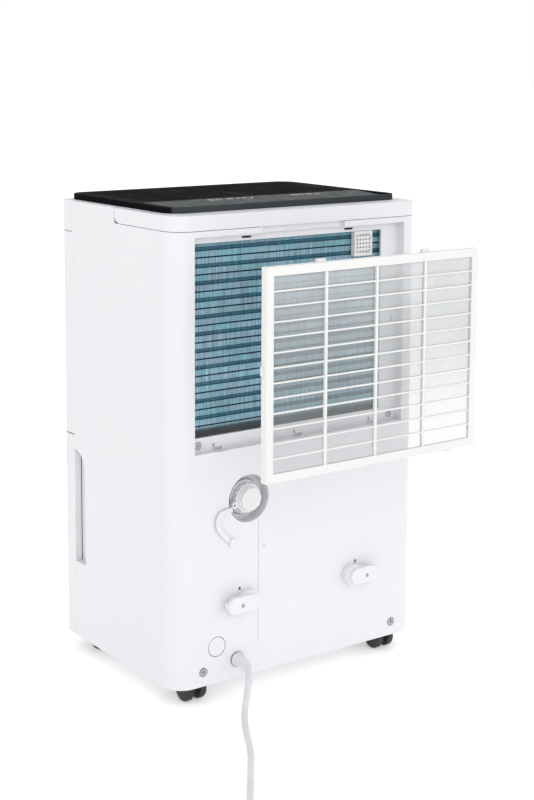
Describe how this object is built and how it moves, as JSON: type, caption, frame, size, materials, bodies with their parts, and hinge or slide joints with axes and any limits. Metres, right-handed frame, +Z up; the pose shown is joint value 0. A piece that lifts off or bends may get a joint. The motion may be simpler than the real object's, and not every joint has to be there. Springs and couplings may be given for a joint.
{
  "type": "dehumidifier",
  "caption": "Upright portable dehumidifier on casters with a lift-up carry handle, a pull-out air filter over finned coils, a front water tank, a rear drain outlet and a mains lead.",
  "frame": {"origin": "on the floor under the middle of the casing", "axes": "+Z up, +Y out of the back face that has the filter, drain and lead; the tank pulls out along -Y"},
  "size_m": [0.436, 0.6044, 0.508],
  "materials": {
    "casing_white": "satin moulded",
    "inner_white": "moulded",
    "slab_black": "fine textured",
    "panel_black": "polished",
    "filter_white": "moulded",
    "filter_mesh": "fine net",
    "fin_blue": "coated fins",
    "fin_plain": "bare fins",
    "copper": "drawn tube",
    "zinc_steel": "zinc plated",
    "machine_black": "painted",
    "motor_grey": "painted",
    "board_green": "solder mask",
    "rubber_black": "moulded",
    "soft_white": "soft moulded",
    "cord_white": "smooth sheath",
    "tie_grey": "strap",
    "pin_brass": "plated",
    "tank_frost": "translucent",
    "window_clear": "clear",
    "float_orange": "foam",
    "fan_black": "moulded",
    "caster_black": "moulded",
    "wheel_black": "moulded"
  },
  "bodies": {
    "casing": {"rear_housing": "casing_white", "base_pan": "casing_white", "front_panel": "casing_white", "top_frame": "casing_white", "top_grille": "slab_black", "control_panel": "panel_black", "chassis": "inner_white", "evaporator_fins": "fin_blue", "evaporator_tubes": "copper", "coil_end_plates": "zinc_steel", "condenser_fins": "fin_plain", "condenser_tubes": "copper", "drip_tray": "inner_white", "fan_scroll": "inner_white", "fan_motor": "motor_grey", "compressor": "machine_black", "compressor_grommets": "rubber_black", "accumulator": "machine_black", "refrigerant_pipes": "copper", "control_board": "board_green", "run_capacitor": "zinc_steel", "humidity_sensor_cover": "filter_white", "humidity_sensor": "board_green", "float_switch": "fan_black", "drain_socket": "inner_white", "drain_tether": "soft_white", "tether_anchor": "soft_white", "cord_knockout": "casing_white", "cord_gland": "cord_white", "power_cord": "cord_white", "cord_coil": "cord_white", "cord_tail": "cord_white", "coil_tie": "tie_grey", "power_plug": "cord_white", "plug_pins": "pin_brass", "housing_screws": "zinc_steel", "recess_screws": "zinc_steel", "handle_pins": "zinc_steel"},
    "handle": {"carry_handle": "casing_white"},
    "filter": {"filter_frame": "filter_white", "filter_mesh": "filter_mesh"},
    "tank": {"tank_bucket": "tank_frost", "tank_front": "casing_white", "tank_level_window": "window_clear"},
    "float": {"tank_float": "float_orange"},
    "hook_left": {"cord_hook_left": "casing_white"},
    "hook_right": {"cord_hook_right": "casing_white"},
    "cap": {"drain_cap": "soft_white"},
    "fan_wheel": {"blower_wheel": "fan_black"},
    "swivel_rear_left": {"caster_fork_rear_left": "caster_black"},
    "roller_rear_left": {"caster_wheels_rear_left": "wheel_black"},
    "swivel_rear_right": {"caster_fork_rear_right": "caster_black"},
    "roller_rear_right": {"caster_wheels_rear_right": "wheel_black"},
    "swivel_front_left": {"caster_fork_front_left": "caster_black"},
    "roller_front_left": {"caster_wheels_front_left": "wheel_black"},
    "swivel_front_right": {"caster_fork_front_right": "caster_black"},
    "roller_front_right": {"caster_wheels_front_right": "wheel_black"}
  },
  "joints": [
    {"name": "handle_lift", "type": "hinge", "parent": "casing", "child": "handle", "pos_m": [0, 0.009, 0.498], "axis": [1, 0, 0], "range_deg": [0, 90]},
    {"name": "filter_pull", "type": "slide", "parent": "casing", "child": "filter", "axis": [0, 0.9964, -0.085], "range_m": [-0.1176, 0]},
    {"name": "tank_pull", "type": "slide", "parent": "casing", "child": "tank", "axis": [0, -1, 0], "range_m": [0, 0.2]},
    {"name": "float_rise", "type": "hinge", "parent": "tank", "child": "float", "pos_m": [0.11, 0.006, 0.2], "axis": [-1, 0, 0], "range_deg": [0, 30]},
    {"name": "hook_left_turn", "type": "hinge", "parent": "casing", "child": "hook_left", "pos_m": [0.072, 0.1175, 0.102], "axis": [0, -1, 0], "range_deg": [0, 90]},
    {"name": "hook_right_turn", "type": "hinge", "parent": "casing", "child": "hook_right", "pos_m": [-0.066, 0.1175, 0.102], "axis": [0, 1, 0], "range_deg": [0, 90]},
    {"name": "cap_unscrew", "type": "hinge", "parent": "casing", "child": "cap", "pos_m": [0.069, 0.112, 0.208], "axis": [0, 1, 0], "range_deg": [0, 330]},
    {"name": "fan_spin", "type": "hinge", "parent": "casing", "child": "fan_wheel", "pos_m": [0, 0.012, 0.365], "axis": [0, 1, 0], "continuous": true},
    {"name": "swivel_rear_left_turn", "type": "hinge", "parent": "casing", "child": "swivel_rear_left", "pos_m": [0.126, 0.088, 0.03], "axis": [0, 0, 1], "continuous": true},
    {"name": "roller_rear_left_spin", "type": "hinge", "parent": "swivel_rear_left", "child": "roller_rear_left", "pos_m": [0.126, 0.096, 0.0125], "axis": [1, 0, 0], "continuous": true},
    {"name": "swivel_rear_right_turn", "type": "hinge", "parent": "casing", "child": "swivel_rear_right", "pos_m": [-0.126, 0.088, 0.03], "axis": [0, 0, 1], "continuous": true},
    {"name": "roller_rear_right_spin", "type": "hinge", "parent": "swivel_rear_right", "child": "roller_rear_right", "pos_m": [-0.126, 0.096, 0.0125], "axis": [1, 0, 0], "continuous": true},
    {"name": "swivel_front_left_turn", "type": "hinge", "parent": "casing", "child": "swivel_front_left", "pos_m": [0.126, -0.088, 0.03], "axis": [0, 0, 1], "continuous": true},
    {"name": "roller_front_left_spin", "type": "hinge", "parent": "swivel_front_left", "child": "roller_front_left", "pos_m": [0.126, -0.08, 0.0125], "axis": [1, 0, 0], "continuous": true},
    {"name": "swivel_front_right_turn", "type": "hinge", "parent": "casing", "child": "swivel_front_right", "pos_m": [-0.126, -0.088, 0.03], "axis": [0, 0, 1], "continuous": true},
    {"name": "roller_front_right_spin", "type": "hinge", "parent": "swivel_front_right", "child": "roller_front_right", "pos_m": [-0.126, -0.08, 0.0125], "axis": [1, 0, 0], "continuous": true}
  ]
}
